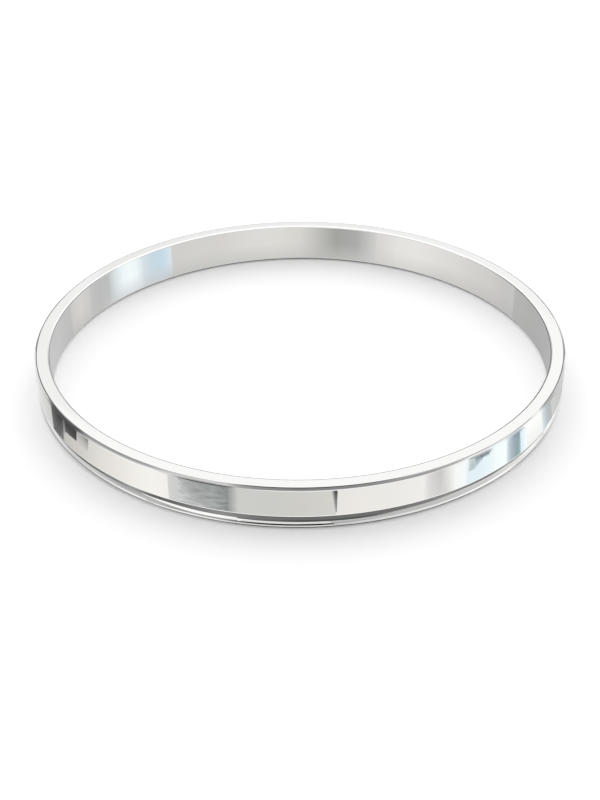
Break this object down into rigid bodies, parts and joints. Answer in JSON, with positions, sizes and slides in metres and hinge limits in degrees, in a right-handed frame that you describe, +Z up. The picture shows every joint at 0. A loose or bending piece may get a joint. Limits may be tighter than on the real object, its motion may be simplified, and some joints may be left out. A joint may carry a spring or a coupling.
{
  "type": "kada bangle",
  "caption": "Plain round kada bangle of polished metal: an upright flat band over a round rim, with a fine groove between them and a straight wrist hole.",
  "frame": {"origin": "centre of the wrist hole, on the surface that the bangle rests on", "axes": "+Z up along the axis of the ring, from the round rim to the level top face; +X and +Y are alike, because the ring is round"},
  "size_m": [0.0638, 0.0638, 0.0054],
  "materials": {
    "polished_steel": "mirror polished, with fine hairline scratches"
  },
  "bodies": {
    "root": {"bangle": "polished_steel"}
  },
  "joints": []
}
